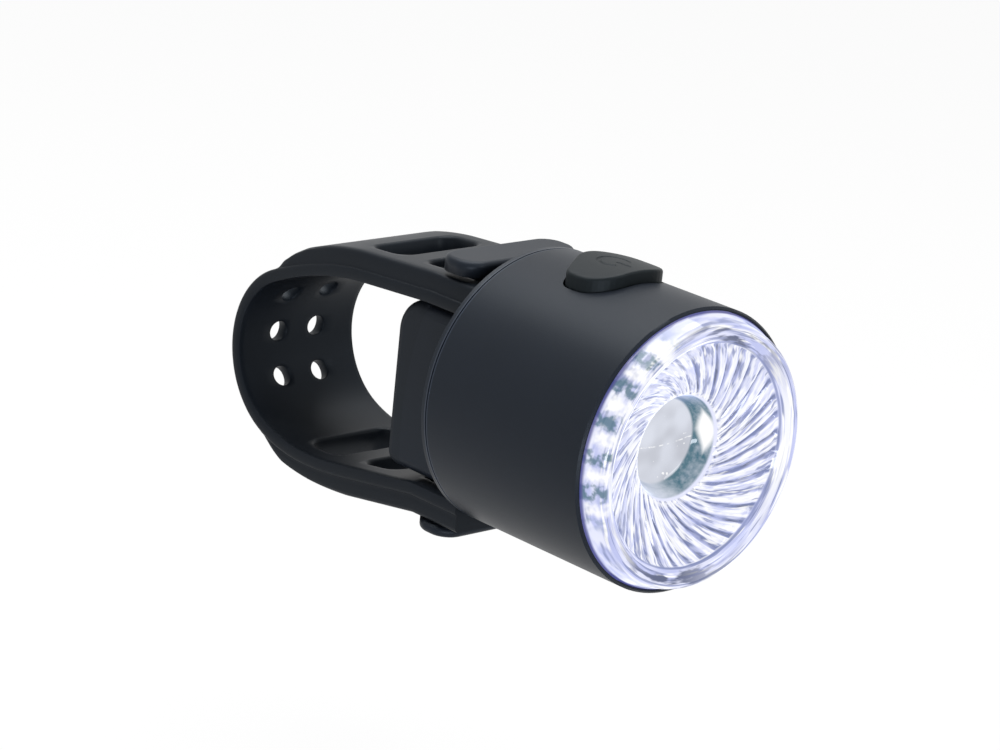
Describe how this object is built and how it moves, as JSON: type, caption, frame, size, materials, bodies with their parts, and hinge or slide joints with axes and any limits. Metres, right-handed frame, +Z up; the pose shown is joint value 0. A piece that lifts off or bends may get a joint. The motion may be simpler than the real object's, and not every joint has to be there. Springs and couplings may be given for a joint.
{
  "type": "bike headlight",
  "caption": "Round handlebar light with a swirl-fluted glowing lens, a top power button and a silicone ladder strap hooked to a rear mount block.",
  "frame": {"origin": "centre of the handlebar that the strap's band goes round", "axes": "+X along the handlebar, +Y backwards from the lamp to the rider, +Z up; light shines towards -Y"},
  "size_m": [0.04, 0.0868, 0.0447],
  "materials": {
    "body": "fine matte texture",
    "cover": "satin",
    "lens": "clear moulded",
    "button": "soft matte",
    "strap": "silicone satin",
    "pad": "matte",
    "seal": "matte",
    "metal": "machined",
    "reflector": "vacuum coated",
    "optic": "clear moulded",
    "board": "solder mask",
    "led_board": "white solder mask",
    "led": "phosphor",
    "parts": "moulded",
    "steel": "brushed",
    "cell": "foil pouch",
    "foam": "foam",
    "frame": "moulded",
    "wire": "insulation"
  },
  "bodies": {
    "lamp_body": {"housing_shell": "body", "rear_cover": "cover", "rear_seal": "seal", "cover_screws": "steel", "front_lens": "lens", "lens_seal": "seal", "reflector": "reflector", "collimator": "optic", "led_board": "led_board", "main_led": "led", "ring_board": "led_board", "ring_leds": "led", "heat_spreader": "metal", "tact_switch": "parts", "control_board": "board", "board_parts": "parts", "charging_port": "steel", "port_anchor": "seal", "battery_cell": "cell", "battery_pad": "foam", "battery_leads": "wire", "led_leads": "wire", "inner_frame": "frame", "mount_block": "body", "bracket_screws": "steel", "bar_pad": "pad", "strap": "strap"},
    "button": {"button_cap": "button", "button_plunger": "frame", "switch_stem": "parts"},
    "charging_flap": {"port_cover": "seal"}
  },
  "joints": [
    {"name": "button_press", "type": "slide", "parent": "lamp_body", "child": "button", "axis": [0, 0, -1], "range_m": [0, 0.0005], "stiffness_N_per_m": 1500},
    {"name": "charging_flap_hinge", "type": "hinge", "parent": "lamp_body", "child": "charging_flap", "pos_m": [0, -0.0493, -0.0136], "axis": [1, 0, 0], "range_deg": [0, 100], "stiffness_Nm_per_rad": 0.001}
  ]
}
